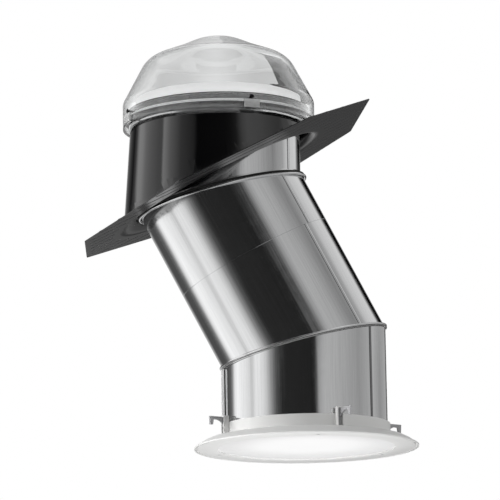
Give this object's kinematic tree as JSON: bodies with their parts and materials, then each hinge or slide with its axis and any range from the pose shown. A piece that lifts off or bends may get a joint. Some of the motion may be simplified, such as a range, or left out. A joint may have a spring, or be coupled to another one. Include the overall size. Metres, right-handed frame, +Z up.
{
  "type": "rigid tubular skylight",
  "caption": "Roof-to-ceiling light pipe: clear dome on a pitched black roof flashing, rigid mirror-metal tube with a bend at each end, and a round white ceiling ring with a frosted diffuser.",
  "frame": {"origin": "centre of the ceiling opening, on the ring's room-side plane and the lower tube's axis", "axes": "+Z up the lower tube to the roof, -X towards the upper tube and down the roof slope, Y across the slope"},
  "size_m": [0.7196, 0.61, 0.9015],
  "materials": {
    "clear_acrylic": "clear, polished",
    "dark_steel": "blackened",
    "zinc_steel": "zinc plated",
    "tube_aluminium": "mirror rolled",
    "black_steel": "gloss black powder coat",
    "white_plastic": "satin white",
    "bead_aluminium": "bright rolled",
    "black_rubber": "matt",
    "grey_rubber": "matt",
    "grey_plastic": "satin grey",
    "frosted_acrylic": "frosted"
  },
  "bodies": {
    "skylight": {"dome": "clear_acrylic", "dome_base_ring": "clear_acrylic", "dome_clips": "clear_acrylic", "dome_screws": "dark_steel", "clamp_screws": "zinc_steel", "trim_screws": "zinc_steel", "tube_rivets": "tube_aluminium", "flashing": "black_steel", "tube_hanger": "white_plastic", "top_tube": "tube_aluminium", "slant_tube_upper": "tube_aluminium", "slant_tube_lower": "tube_aluminium", "bottom_tube": "tube_aluminium", "upper_joint_ring": "bead_aluminium", "lower_joint_ring": "bead_aluminium", "upper_joint_seal": "black_rubber", "lower_joint_seal": "grey_rubber", "ceiling_ring": "white_plastic", "inner_pane": "clear_acrylic", "diffuser": "frosted_acrylic", "diffuser_gasket": "grey_rubber", "trim_ring": "white_plastic"},
    "clamp_1": {"clamp_1": "grey_plastic"},
    "clamp_2": {"clamp_2": "grey_plastic"},
    "clamp_3": {"clamp_3": "grey_plastic"},
    "clamp_4": {"clamp_4": "grey_plastic"}
  },
  "joints": [
    {"name": "clamp_1_slide", "type": "slide", "parent": "skylight", "child": "clamp_1", "axis": [0, 0, -1], "range_m": [0, 0.018]},
    {"name": "clamp_2_slide", "type": "slide", "parent": "skylight", "child": "clamp_2", "axis": [0, 0, -1], "range_m": [0, 0.018]},
    {"name": "clamp_3_slide", "type": "slide", "parent": "skylight", "child": "clamp_3", "axis": [0, 0, -1], "range_m": [0, 0.018]},
    {"name": "clamp_4_slide", "type": "slide", "parent": "skylight", "child": "clamp_4", "axis": [0, 0, -1], "range_m": [0, 0.018]}
  ]
}
